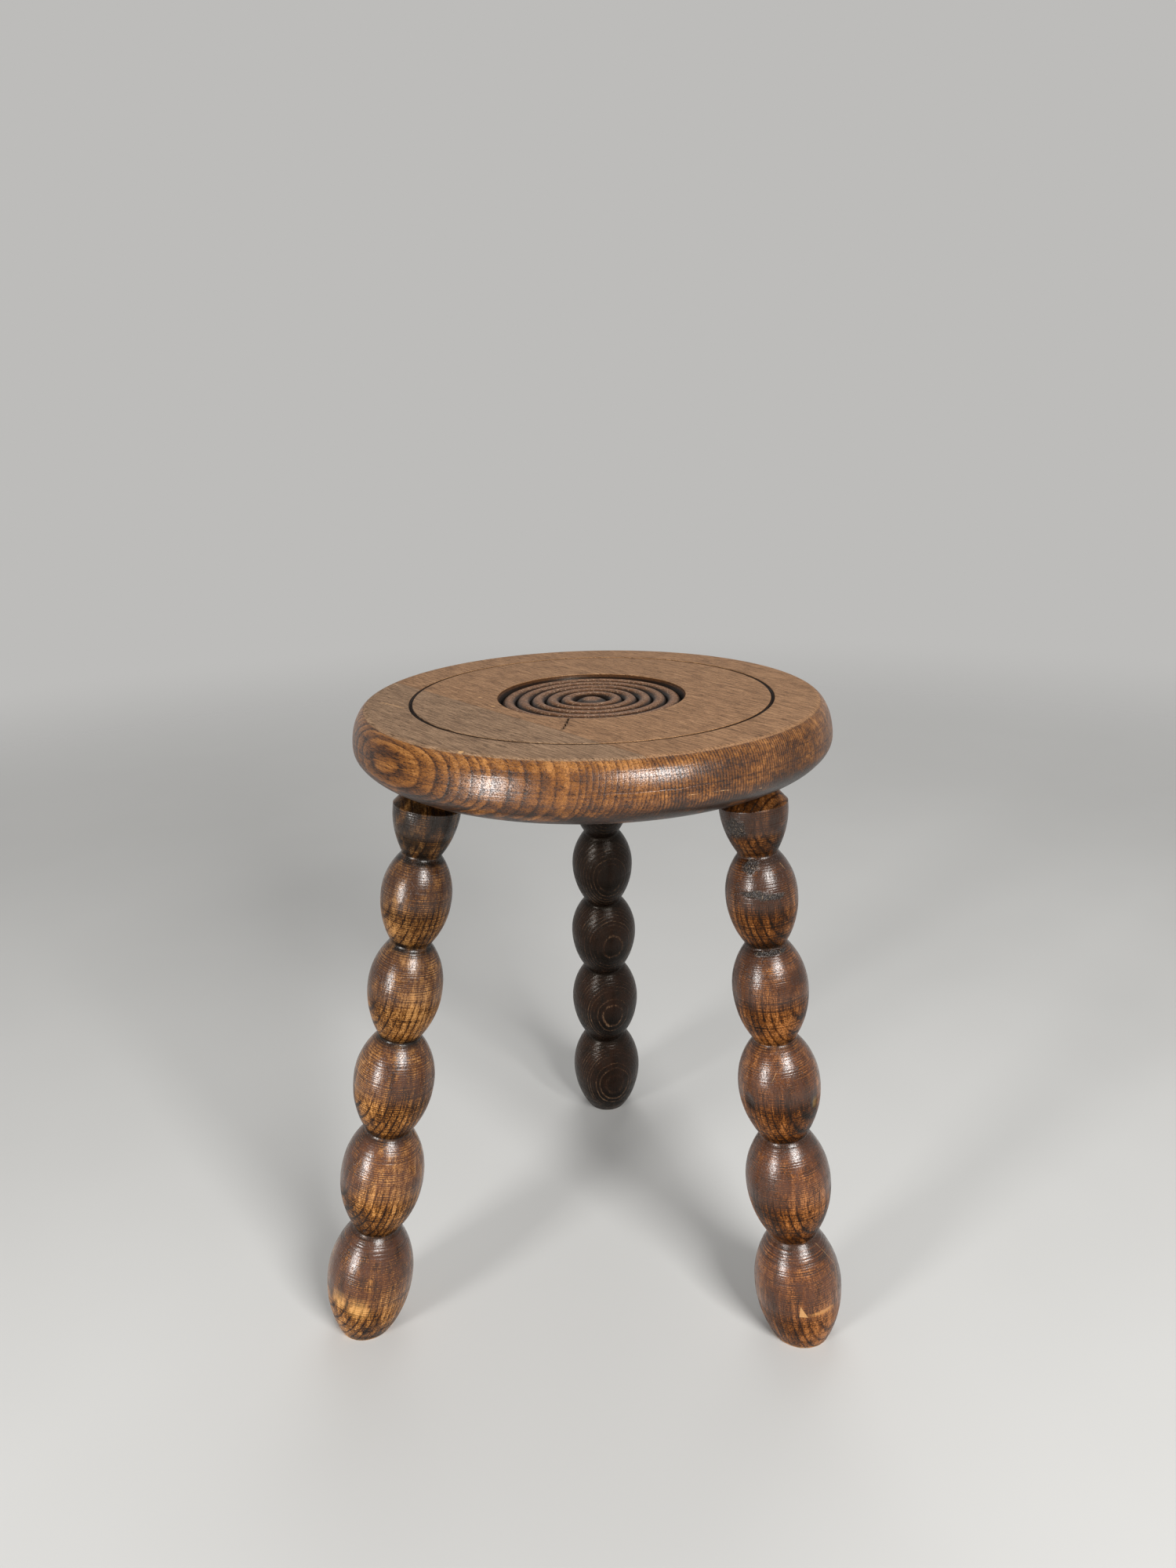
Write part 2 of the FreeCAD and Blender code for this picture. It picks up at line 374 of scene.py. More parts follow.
def build_leg(name, place, seed):
    """A leg with its tool marks and marks of age, set in its place."""
    heights = leg_ring_heights()
    points, outward = spun(np.column_stack([leg_radius(heights), heights]), LEG_SEGMENTS)
    lines, line_depth = tool_marks(points, heights, seed)
    shares, mark_depth = marks_of_age(points, name, seed)
    shoulder, grime_and_shade = bead_shares(heights)
    shares["line"] = np.minimum(lines, 1)
    shares["shoulder"] = np.repeat(shoulder, LEG_SEGMENTS)
    shares["grime_and_shade"] = np.repeat(grime_and_shade, LEG_SEGMENTS)
    cut = np.where(points[:, 2] < -CONE_LENGTH, line_depth + mark_depth, 0)
    points[:, :2] -= outward * cut[:, None]
    mouth, axes = leg_frame(place)
    points = trimmed(points, mouth, axes)
    ends = np.array([[0, 0, heights[0]], points[-LEG_SEGMENTS:].mean(0)])
    points = np.concatenate([points, ends]) @ axes.T + mouth
    scuffed = 1 - smooth_step(points[:-2, 2], FOOT_SCUFF_HEIGHT / 4, FOOT_SCUFF_HEIGHT)
    shares["worn"] = np.maximum(shares["worn"], SCUFF_STRENGTH * scuffed)
    shares = {key: np.append(values, [0, 0]) for key, values in shares.items()}
    return new_mesh_object(name + "_turned", points, lathe_faces(len(heights), LEG_SEGMENTS), shares)


# Seat

def arc_over(inner, outer, low, high, count):
    """Points of the arc between two radii, low at its ends and high in its middle."""
    half, rise = (outer - inner) / 2, high - low
    size = (half**2 + rise**2) / (2 * rise)
    reach = math.asin(half / size)
    turns = np.linspace(-reach, reach, count + 1)
    return np.column_stack([inner + half + size * np.sin(turns), high + size * (np.cos(turns) - 1)])


def quarter_ellipse(centre, first, last, count):
    """Points of the quarter ellipse about centre, from first to last."""
    centre, first, last = np.array([centre, first, last])
    turns = np.linspace(0, math.pi / 2, count + 1)[:, None]
    return centre + (first - centre) * np.cos(turns) + (last - centre) * np.sin(turns)


def seat_outline():
    """The seat's turned outline, from next to the middle of its top to next to that below."""
    widest = SEAT_HEIGHT - TOP_ROUNDING_DEPTH
    floor = SEAT_HEIGHT - RECESS_DEPTH
    boss, rim, radius = BOSS_DIAMETER / 2, RECESS_DIAMETER / 2, SEAT_DIAMETER / 2
    groove, half = GROOVE_DIAMETER / 2, GROOVE_WIDTH / 2
    top_edge = radius - TOP_ROUNDING_WIDTH
    under_edge = radius - UNDERSIDE_ROUNDING_WIDTH
    dome = arc_over(-boss, boss, floor, floor + RING_HEIGHT, BOSS_STEPS)
    pieces = [dome[BOSS_STEPS // 2 + 1 :]]
    edges = np.linspace(boss, rim - RECESS_WALL_WIDTH, RING_COUNT + 1)
    for inner, outer in zip(edges, edges[1:]):
        pieces.append(arc_over(inner, outer, floor, floor + RING_HEIGHT, RING_STEPS))
    for corner, steps in (
        ((rim, SEAT_HEIGHT), WALL_STEPS),
        ((groove - half, SEAT_HEIGHT), INNER_FLAT_STEPS),
        ((groove, SEAT_HEIGHT - GROOVE_DEPTH), GROOVE_STEPS),
        ((groove + half, SEAT_HEIGHT), GROOVE_STEPS),
        ((top_edge, SEAT_HEIGHT), OUTER_FLAT_STEPS),
    ):
        pieces.append(np.linspace(pieces[-1][-1], corner, steps + 1))
    shoulder, side, underside = (top_edge, SEAT_HEIGHT), (radius, widest), (under_edge, UNDERSIDE_HEIGHT)
    pieces.append(quarter_ellipse((top_edge, widest), shoulder, side, UPPER_ROUNDING_STEPS))
    pieces.append(quarter_ellipse((under_edge, widest), side, underside, LOWER_ROUNDING_STEPS))
    last = (under_edge / (UNDERSIDE_STEPS + 1), UNDERSIDE_HEIGHT)
    pieces.append(np.linspace(underside, last, UNDERSIDE_STEPS + 1))
    return np.concatenate([pieces[0]] + [piece[1:] for piece in pieces[1:]])


EDGE_DENT_CELL = 26.0
EDGE_DENT_DEPTH = 0.35
EDGE_DENT_SPREAD = 0.2
EDGE_DENT_RADII = (150.0, 156.0)
EDGE_DENT_SEED = 3.7
CRISP_EDGE_ANGLE = 38


def build_blank():
    """The whole seat as turned, in its place."""
    outline = seat_outline()
    points, outward = spun(outline, SEAT_SEGMENTS)
    dents = np.clip(smooth_noise(points, EDGE_DENT_CELL, EDGE_DENT_SEED) + EDGE_DENT_SPREAD, 0, 1)
    on_edge = np.repeat(smooth_step(outline[:, 0], *EDGE_DENT_RADII), SEAT_SEGMENTS)
    points[:, :2] -= outward * (dents * EDGE_DENT_DEPTH * on_edge)[:, None]
    middle = [[0, 0, SEAT_HEIGHT - RECESS_DEPTH + RING_HEIGHT], [0, 0, UNDERSIDE_HEIGHT]]
    points = np.concatenate([points, middle]) + SEAT_AXIS
    return new_mesh_object("seat_blank", points, lathe_faces(len(outline), SEAT_SEGMENTS))


def mortise_cutter(place):
    """The bore for one tenon, eased at its mouth to the leg's cone."""
    bore = TENON_DIAMETER / 2 + GLUE_CLEARANCE
    cone = CUP_DIAMETER / 2 + GLUE_CLEARANCE
    depth = TENON_LENGTH + MORTISE_SPARE_DEPTH
    outline = [(bore, depth), (bore, 0), (cone, -CONE_LENGTH)]
    points, _ = spun(outline, MORTISE_SEGMENTS)
    mouth, axes = leg_frame(place)
    points = np.concatenate([points, [(0, 0, depth), (0, 0, -CONE_LENGTH)]]) @ axes.T + mouth
    return new_mesh_object("cutter", points, lathe_faces(len(outline), MORTISE_SEGMENTS))


# A jagged crack from the recess to the joint: places on the top from the seat's axis, half width
CRACK = [
    (-14.6, -62.0, 0.5), (-15.2, -65.1, 0.6), (-14.9, -67.5, 0.45), (-15.9, -70.2, 0.6),
    (-15.2, -73.0, 0.45), (-16.9, -76.0, 0.6), (-16.2, -79.4, 0.5), (-17.7, -82.4, 0.4),
    (-17.3, -85.6, 0.35), (-18.6, -88.2, 0.15),
]
CRACK_DEPTH = 5.0
CUT_OVERRUN = 1.0


def crack_cutter():
    """A wedge along the crack."""
    points = []
    for x, y, half in CRACK:
        points += [(x + side, y, SEAT_HEIGHT + CUT_OVERRUN) for side in (-half, half)]
        points.append((x, y, SEAT_HEIGHT - CRACK_DEPTH))
    faces = [(0, 1, 2), (len(points) - 3, len(points) - 1, len(points) - 2)]
    for first in range(0, len(points) - 3, 3):
        for here, after in ((0, 1), (1, 2), (2, 0)):
            one, two, three, four = first + here, first + 3 + here, first + 3 + after, first + after
            faces += [(one, two, three), (one, three, four)]
    return new_mesh_object("cutter", np.array(points) + SEAT_AXIS, faces)


def cut_with(piece, cutters):
    """Cuts the cutters out of a piece and removes them."""
    for cutter in cutters:
        modifier = piece.modifiers.new("cut", "BOOLEAN")
        modifier.operation = "DIFFERENCE"
        modifier.solver = "MANIFOLD"
        modifier.object = cutter
    bpy.context.view_layer.update()
    graph = bpy.context.evaluated_depsgraph_get()
    mesh = bpy.data.meshes.new_from_object(piece.evaluated_get(graph))
    piece.modifiers.clear()
    piece.data = mesh
    for cutter in cutters:
        bpy.data.objects.remove(cutter)


def half_of(blank, name, keep_beyond):
    """The part of the blank on one side of the glue joint, closed where it is cut."""
    facing = Vector((*polar(1, JOINT_AZIMUTH), 0))
    shape = bmesh.new()
    shape.from_mesh(blank.data)
    cut = bmesh.ops.bisect_plane(
        shape,
        geom=shape.verts[:] + shape.edges[:] + shape.faces[:],
        plane_co=(Vector(SEAT_AXIS) + facing * JOINT_OFFSET) * MM,
        plane_no=facing,
        clear_inner=keep_beyond,
        clear_outer=not keep_beyond,
    )
    edges = [item for item in cut["geom_cut"] if isinstance(item, bmesh.types.BMEdge)]
    filled = bmesh.ops.triangle_fill(shape, edges=edges, use_beauty=True)
    for face in filled["geom"]:
        if isinstance(face, bmesh.types.BMFace):
            face.smooth = False
    bmesh.ops.recalc_face_normals(shape, faces=shape.faces[:])
    mesh = bpy.data.meshes.new(name)
    shape.to_mesh(mesh)
    shape.free()
    mesh.set_sharp_from_angle(angle=math.radians(CRISP_EDGE_ANGLE))
    return in_scene(name, mesh)


def build_boards():
    """The two boards of the seat, with their mortises."""
    blank = build_blank()
    cutters = [mortise_cutter(place) for place in LEG_PLACES.values()]
    cut_with(blank, cutters + [crack_cutter()])
    wide = half_of(blank, "seat_board_wide_turned", False)
    narrow = half_of(blank, "seat_board_narrow_turned", True)
    bpy.data.objects.remove(blank)
    return wide, narrow


# Materials

WARM_SHEEN = (1.0, 0.8, 0.58, 1)
COAT_ROUGHNESS = 0.21
# Where a spot or a line fades out and where it is full, as shares of its radius or width
SPOT_EDGE_SHARES = (1.15, 0.7)
LINE_EDGE_SHARES = (0.65, 0.35)
CHIP_REACH_SHARE = 1.5


class Net:
    """The net of nodes of a material or a world."""

    def __init__(self, owner):
        owner.use_nodes = True
        self.owner = owner
        self.tree = owner.node_tree
        self.tree.nodes.clear()

    def node(self, kind, inputs=(), **settings):
        """A node with its settings and its inputs, in order or by name: values or sockets."""
        made = self.tree.nodes.new("ShaderNode" + kind)
        for key, value in settings.items():
            setattr(made, key, value)
        for key, value in inputs.items() if isinstance(inputs, dict) else enumerate(inputs):
            if isinstance(value, bpy.types.NodeSocket):
                self.tree.links.new(value, made.inputs[key])
            else:
                made.inputs[key].default_value = value
        return made

    def first(self, kind, inputs=(), **settings):
        """The first output of a new node."""
        return self.node(kind, inputs, **settings).outputs[0]

    def math(self, operation, *values, clamp=False):
        return self.first("Math", values, operation=operation, use_clamp=clamp)

    def joined(self, operation, values):
        """Values brought together one by one by a math operation."""
        return functools.reduce(lambda total, value: self.math(operation, total, value), values)

    def add(self, *terms):
        """The sum of values, each a number, a socket or a (socket, factor) pair."""
        values = [self.math("MULTIPLY", *term) if isinstance(term, tuple) else term for term in terms]
        return self.joined("ADD", values)

    def product(self, *values):
        return self.joined("MULTIPLY", values)

    def most(self, shares):
        """The largest of some shares, or 0 where there are none."""
        return self.joined("MAXIMUM", [0.0, *shares])

    def rest(self, share):
        """What a share leaves of 1."""
        return self.math("SUBTRACT", 1.0, share)

    def apart(self, value, middle):
        """How far a value lies from middle, either way."""
        return self.math("ABSOLUTE", self.math("SUBTRACT", value, middle))

    def vector(self, operation, *values):
        return self.first("VectorMath", values, operation=operation)

    def measure(self, operation, *values):
        """A number that two vectors give, or one of them."""
        return self.node("VectorMath", values, operation=operation).outputs["Value"]

    def combined(self, *values):
        return self.first("CombineXYZ", values)

    def parts(self, place):
        return list(self.node("SeparateXYZ", (place,)).outputs)

    def place(self):
        """Where each point lies, in millimetres."""
        metres = self.node("TexCoord").outputs["Object"]
        return self.vector("MULTIPLY", metres, (1 / MM,) * 3)

    def framed(self, place, origin, axes):
        """A place as seen from origin along three axes."""
        offset = self.vector("SUBTRACT", place, tuple(origin))
        return self.combined(*[self.measure("DOT_PRODUCT", offset, tuple(axis)) for axis in axes])

    def mapped(self, value, low, high, to_low=0.0, to_high=1.0, smooth=True):
        """A value taken from one span to another, which it doesn't leave."""
        kind = "SMOOTHSTEP" if smooth else "LINEAR"
        inputs = (value, low, high, to_low, to_high)
        return self.first("MapRange", inputs, interpolation_type=kind)

    def mixed(self, share, first, second):
        inputs = {"Factor": share, 6: first, 7: second}
        return self.node("Mix", inputs, data_type="RGBA").outputs[2]

    def noise(self, place, rates, detail=3.0, rough=0.55):
        """Noise from 0 to 1, with so many cells a millimetre along each axis."""
        scaled = self.vector("MULTIPLY", place, rates)
        inputs = {"Vector": scaled, "Scale": 1.0, "Detail": detail, "Roughness": rough}
        return self.first("TexNoise", inputs)

    def ramp(self, value, tones):
        """A ramp through (place, colour) stops."""
        made = self.node("ValToRGB", (value,))
        stops = made.color_ramp.elements
        while len(stops) < len(tones):
            stops.new(1.0)
        for stop, (place, colour) in zip(stops, tones):
            stop.position = place
            stop.color = colour
        return made.outputs[0]

    def near_point(self, place, point, radius):
        """1 within radius of a point, and 0 a little beyond."""
        edge = [radius * share for share in SPOT_EDGE_SHARES]
        return self.mapped(self.measure("DISTANCE", place, tuple(point)), *edge)

    def near_line(self, place, points, width):
        """1 within half of width of a line through points, and 0 a little beyond."""
        edge = [width * share for share in LINE_EDGE_SHARES]
        shares = []
        for start, end in zip(points, points[1:]):
            run = Vector(end) - Vector(start)
            offset = self.vector("SUBTRACT", place, tuple(start))
            along = self.measure("DOT_PRODUCT", offset, tuple(run / run.length_squared))
            along = self.math("ADD", along, 0, clamp=True)
            inputs = {0: tuple(run), "Scale": along}
            reached = self.first("VectorMath", inputs, operation="SCALE")
            shares.append(self.mapped(self.measure("DISTANCE", offset, reached), *edge))
        return self.most(shares)

    def within_triangle(self, place, corners, edge):
        """1 inside a small triangle on the surface, 0 outside, with so wide an edge."""
        corners = [Vector(corner) for corner in corners]
        middle = sum(corners, Vector()) / 3
        outward = (corners[1] - corners[0]).cross(corners[2] - corners[0])
        depths = []
        for start, end in zip(corners, corners[1:] + corners[:1]):
            inward = outward.cross(end - start).normalized()
            offset = self.vector("SUBTRACT", place, tuple(start))
            depths.append(self.measure("DOT_PRODUCT", offset, tuple(inward)))
        inside = self.mapped(self.joined("MINIMUM", depths), 0.0, edge)
        reach = max((corner - middle).length for corner in corners) * CHIP_REACH_SHARE
        return self.product(inside, self.near_point(place, middle, reach))

    def share(self, name):
        """A named share that the mesh carries."""
        return self.node("Attribute", attribute_name=name).outputs["Fac"]

    def finish(self, colour, roughness, relief, coat, specular):
        """Varnished wood with its relief in millimetres."""
        inputs = {"Height": relief, "Distance": MM, "Strength": 1.0}
        normal = self.first("Bump", inputs)
        surface = self.first("BsdfPrincipled", {
            "Base Color": colour, "Roughness": roughness, "Normal": normal,
            "Specular IOR Level": specular, "Specular Tint": WARM_SHEEN,
            "Coat Weight": coat, "Coat Roughness": COAT_ROUGHNESS, "Coat Normal": normal,
        })
        self.node("OutputMaterial", (surface,))
        return self.owner


def srgb(red, green, blue):
    """A colour as linear light, from its 0 to 255 screen values."""
    shares = np.array([red, green, blue]) / 255
    linear = np.where(shares <= 0.04045, shares / 12.92, ((shares + 0.055) / 1.055) ** 2.4)
    return (*linear.tolist(), 1)


PALE_WOOD = srgb(206, 160, 108)
WORN_WOOD = srgb(208, 162, 92)
DARK_WORN_WOOD = srgb(84, 68, 48)
# Near black: dirt, painted shade on the legs, the crack, and the darkened underside
GRIME_AND_SHADE = srgb(13, 6, 3)
# Purple-brown of a painted dull sheen, where the beads' upper shoulders reflect light
PAINTED_SHEEN_TONE = srgb(94, 52, 28)
CRUST = srgb(16, 10, 7)
# Pale on the ridges of a rough crust: flakes, and painted highlights
CRUST_FLAKE_AND_GLINT = srgb(132, 110, 88)
JOINT_TONE = srgb(84, 62, 46)
# Stain in the groove and the recess, from low to high with painted shade low down, its fibres, its
# pores, and its pale specks, partly painted highlights
SUNK_TONES = [(0.0, srgb(4, 1, 0)), (0.5, srgb(30, 12, 4)), (1.0, srgb(136, 88, 50))]
SUNK_FIBRE = srgb(20, 10, 5)
SUNK_PORE = srgb(12, 6, 3)
SPECK_AND_PAINTED_GLINT = srgb(186, 156, 126)

# Where the four tones of a wood lie on its ramp: the closer together, the more contrast
SOFT_TONE_SHARES = (0.0, 0.36, 0.7, 1.0)
EDGE_TONE_SHARES = (0.09, 0.38, 0.65, 0.89)
LEG_TONE_SHARES = (0.13, 0.39, 0.63, 0.85)


def tones(*colours, shares=SOFT_TONE_SHARES):
    """Four colours from the palest wood to the darkest pore, at their places on a ramp."""
    return list(zip(shares, (srgb(*colour) for colour in colours)))


def ring_profile(*stops):
    """How dark the wood is through one growth ring, from (place, darkness) stops."""
    return [(place, (level, level, level, 1)) for place, level in stops]


BAND_RINGS = ring_profile(
    (0, 0.95), (0.12, 0.8), (0.3, 0.35), (0.5, 0.08), (0.78, 0.14), (0.93, 0.6), (1, 0.95)
)
EYE_RINGS = ring_profile(
    (0, 1), (0.08, 0.8), (0.2, 0.5), (0.42, 0.36), (0.62, 0.06), (0.86, 0.06), (0.95, 0.5), (1, 1)
)
RIPPLE_RINGS = ring_profile(
    (0, 1), (0.12, 0.9), (0.34, 0.25), (0.55, 0), (0.72, 0.05), (0.88, 0.6), (1, 1)
)
LINE_RINGS = ring_profile(
    (0, 1), (0.08, 0.7), (0.17, 0.16), (0.5, 0), (0.84, 0.08), (0.94, 0.6), (1, 1)
)

# Each piece's wood: the azimuth of its bark side and the rise of that side above level, whether
# its grain stands upright, the depth of the pith below the bark, the ring widths from each depth
# on, how far rings wander, where they start, how far they swell, how dark they are and their
# profile, then how dark the wood is, its fibres, its clouds and its pores, and its tones
BARK_AZIMUTH = -141.5
EYE_PLACE = (*polar(157.9, BARK_AZIMUTH), 436.0)
LEG_BARK_RADIUS = 30.4
LEG_BARK_HEIGHT = -200.0
USUAL_WOOD = {
    "swelling": 0.0, "cloud": 0.15, "pores": 0.22, "ring_relief": -0.04,
    "coat": 1.0, "specular": 0.1,
}
# A leg also says how dark its dirt and painted shade are, the colour where it is worn, how much the
# painted sheen on its shoulders hides the rings, and how strong that painted sheen is
LEG_WOOD = {
    **USUAL_WOOD, "upright": True, "pith": 110.0, "rings": 0.36, "profile": LINE_RINGS,
    "fibres": 0.16, "cloud": 0.19, "worn": WORN_WOOD, "hides": 0.7, "painted_sheen_strength": 0.5,
}
SEAT_WOOD = {
    **USUAL_WOOD, "azimuth": BARK_AZIMUTH, "upright": False, "pith": 600.0, "wander": 0.4,
    "widths": [(0.0, 2.2), (2.6, 2.75), (19.0, 5.3), (48.0, 2.6), (75.0, 1.9)],
    "specular": 0.12,
}
SEAT_COLOURS = ((168, 115, 60), (115, 69, 22), (66, 33, 5), (24, 10, 2))
WOODS = {
    "seat_board_wide": {
        **SEAT_WOOD, "rise": 2.0, "phase": 0.37, "rings": 0.56, "profile": BAND_RINGS,
        "base": 0.3, "fibres": 0.14, "cloud": 0.12, "pores": 0.3,
        "tones": tones(*SEAT_COLOURS, shares=EDGE_TONE_SHARES),
        "top": tones((178, 137, 100), (145, 108, 76), (110, 78, 52), (66, 44, 27)),
    },
    "seat_board_narrow": {
        **SEAT_WOOD, "rise": 12.5, "phase": -0.2, "swelling": 2.6, "rings": 0.5,
        "profile": EYE_RINGS, "base": 0.23, "fibres": 0.16, "cloud": 0.1, "pores": 0.34,
        "tones": tones(*SEAT_COLOURS),
        "top": tones((168, 136, 106), (136, 107, 81), (102, 77, 56), (62, 44, 30)),
    },
    # Painted shade: the rear leg stands in the seat's shadow, so its tones are darker and its darkening
    # stronger than the others'
    "leg_rear": {
        **LEG_WOOD, "azimuth": -165.0, "rise": 0.0, "widths": [(0.0, 1.5), (12.0, 2.0)],
        "wander": 1.0, "phase": 0.35, "rings": -1.2, "profile": RIPPLE_RINGS,
        "ring_relief": 0.09, "base": 1.06, "fibres": 0.2, "cloud": 0.15, "grime_and_shade": 1.25,
        "worn": DARK_WORN_WOOD, "hides": 0.0, "painted_sheen_strength": 0.12, "coat": 0.24,
        "tones": tones((108, 84, 62), (48, 32, 22), (18, 10, 6), (8, 4, 2)),
    },
    "leg_left": {
        **LEG_WOOD, "azimuth": 4.0, "rise": 5.0, "widths": [(0.0, 4.0)], "wander": 1.3,
        "phase": 0.2, "base": 0.23, "grime_and_shade": 0.92,
        "tones": tones((196, 142, 82), (128, 80, 30), (54, 26, 5), (17, 6, 1), shares=LEG_TONE_SHARES),
    },
    "leg_right": {
        **LEG_WOOD, "azimuth": -13.0, "rise": -2.0, "widths": [(0.0, 3.8)], "wander": 1.5,
        "phase": 0.6, "base": 0.26, "grime_and_shade": 0.7,
        "tones": tones((168, 108, 56), (104, 57, 14), (48, 20, 1), (16, 5, 0), shares=LEG_TONE_SHARES),
    },
}
SWELLING_REACH = 45.0

# Cells a millimetre of each pattern in the wood, twice across the grain and once along it
BREAK_RATES = (0.9, 0.9, 0.12)
FIBRE_RATES = (1.5, 1.5, 0.06)
STREAK_RATES = (0.28, 0.28, 0.012)
PORE_RATES = (1.9, 1.9, 0.14)
CLOUD_RATES = (0.03, 0.03, 0.014)
# The same for how rings wander, each with its reach in millimetres
RING_WANDERS = [((0.03, 0.03, 0.009), 1.6), ((0.14, 0.14, 0.05), 0.7), ((0.5, 0.5, 0.08), 0.26)]
# Spans of a noise that are stretched to a full share
WIDE_SPAN = (0.3, 0.7)
FLECK_SPAN = (0.35, 0.7)
SHARP_SPAN = (0.3, 0.6)


def bark_place(wood):
    """A point at the bark side, on the seat's edge or on a bead."""
    if wood["upright"]:
        return (*polar(LEG_BARK_RADIUS, wood["azimuth"]), LEG_BARK_HEIGHT)
    return EYE_PLACE


def wood_axes(wood):
    """Unit vectors out towards the bark, across, and along the grain."""
    x, y = polar(1, wood["azimuth"])
    rise = math.radians(wood["rise"])
    level, up = Vector((x, y, 0)), Vector((0, 0, 1))
    bark = level * math.cos(rise) + up * math.sin(rise)
    grain = Vector((-y, x, 0))
    if wood["upright"]:
        grain = up * math.cos(rise) - level * math.sin(rise)
    return bark, grain.cross(bark), grain


def ring_phase(net, grown, wood):
    """Counts growth rings inwards from the bark side."""
    outward, across, along = net.parts(grown)
    outward = net.math("ADD", outward, wood["pith"])
    radius = net.measure("LENGTH", net.combined(outward, across))
    square = net.math("MULTIPLY", along, along)
    swell = net.math("DIVIDE", square, net.math("ADD", square, SWELLING_REACH**2))
    depth = net.add(wood["pith"], (radius, -1.0), (swell, -wood["swelling"]))
    for rates, reach in RING_WANDERS:
        centred = net.math("SUBTRACT", net.noise(grown, rates, detail=2.0), 0.5)
        depth = net.add(depth, (centred, reach * wood["wander"]))
    widths = wood["widths"]
    phase = net.add(wood["phase"], (depth, 1 / widths[0][1]))
    for (_, before), (start, width) in zip(widths, widths[1:]):
        beyond = net.math("MAXIMUM", net.math("SUBTRACT", depth, start), 0)
        phase = net.add(phase, (beyond, 1 / width - 1 / before))
    return phase


def grown_wood(net, local, wood, hidden):
    """How dark the wood is at each point, its fibres, pores and relief, with rings partly hidden."""
    grown = net.framed(local, bark_place(wood), wood_axes(wood))
    phase = ring_phase(net, grown, wood)
    which = net.math("FLOOR", net.math("ADD", phase, 0.5))
    strength = net.first("TexWhiteNoise", {"W": which}, noise_dimensions="1D")
    ring = net.product(
        net.ramp(net.math("FRACT", phase), wood["profile"]),
        net.mapped(strength, 0, 1, 0.55, 1.0, smooth=False),
        net.mapped(net.noise(grown, BREAK_RATES), *SHARP_SPAN, 0.75, 1.1),
        net.rest(hidden),
    )
    fibres = net.noise(grown, FIBRE_RATES, detail=4.0, rough=0.62)
    fine = net.noise(grown, PORE_RATES, detail=2.0)
    pores = net.mapped(net.add(fine, (ring, 0.08)), 0.55, 0.64)
    cloud = wood["cloud"]
    amount = net.add(
        wood["base"],
        (ring, wood["rings"]),
        net.mapped(fibres, *WIDE_SPAN, 0.0, wood["fibres"]),
        net.mapped(net.noise(grown, STREAK_RATES), *WIDE_SPAN, -0.1, 0.16),
        net.mapped(net.noise(grown, CLOUD_RATES), *WIDE_SPAN, -cloud, cloud),
        (pores, wood["pores"]),
    )
    relief = net.add((fibres, 0.06), (pores, -0.06), (ring, wood["ring_relief"]))
    return {"amount": amount, "fibres": fibres, "pores": pores, "relief": relief}


# Pale scratches on the legs: (height, angle) points in the leg's own frame, and width
LEG_SCRATCHES = {
    "leg_left": [
        ([(-133.0, 6.0), (-141.0, 12.0)], 0.6),
        ([(-258.0, 140.0), (-268.0, 134.0)], 0.6),
    ],
    "leg_right": [
        ([(-47.0, -15.5), (-51.0, -10.0)], 0.55),
        ([(-192.2, -78.0), (-186.3, -70.5)], 0.45),
        ([(-326.0, -15.0), (-335.0, -5.0), (-345.0, 4.0)], 0.5),
        ([(-336.0, 14.0), (-345.0, 6.0), (-356.0, -3.0), (-368.0, -12.5)], 0.6),
    ],
}
# Chips out of the legs, down to pale wood: the corners of each as (height, angle)
LEG_CHIPS = {"leg_right": [[(-361.0, -67.0), (-370.5, -70.0), (-371.5, -57.5)]]}
CHIP_EDGE = 0.4
# Cells a millimetre of the patches, flecks and ridges on a leg
LEG_PATCH_RATES = (0.12, 0.12, 0.08)
LEG_FLECK_RATES = (0.9, 0.9, 0.9)
RIDGE_RATES = (0.75, 0.75, 0.75)


def on_leg(points):
    """Places on a leg's surface, in its own frame, from (height, angle) points."""
    return [(*polar(float(leg_radius(height)), angle), height) for height, angle in points]


def leg_shares(net, local, wood, name):
    """The patterns of a leg and its marks, each as a share at every point."""
    patchy = net.noise(local, LEG_PATCH_RATES)
    flecks = net.noise(local, LEG_FLECK_RATES, rough=0.65)
    shoulder = net.share("shoulder")
    patches = net.mapped(patchy, 0.28, 0.6, 0.7, 1.1)
    chips = [net.within_triangle(local, on_leg(chip), CHIP_EDGE) for chip in LEG_CHIPS.get(name, [])]
    broken = net.mapped(flecks, 0.35, 0.6, 0.2, 1.0)
    scratches = [
        net.product(net.near_line(local, on_leg(points), width), broken)
        for points, width in LEG_SCRATCHES.get(name, [])
    ]
    return {
        "flecks": flecks,
        "ridges": net.noise(local, RIDGE_RATES, detail=4.0, rough=0.7),
        "shoulder": shoulder,
        "rough": net.share("rough"),
        # Painted sheen on the upper shoulders, in patches
        "painted_sheen": net.product(shoulder, net.mapped(patchy, 0.3, 0.62, 0.25, 1.0)),
        "grime_and_shade": net.product(net.share("grime_and_shade"), patches, wood["grime_and_shade"]),
        "worn": net.product(net.share("worn"), net.mapped(flecks, *SHARP_SPAN, 0.6, 1.0)),
        "chipped": net.most(chips),
        "scratched": net.most(scratches),
    }


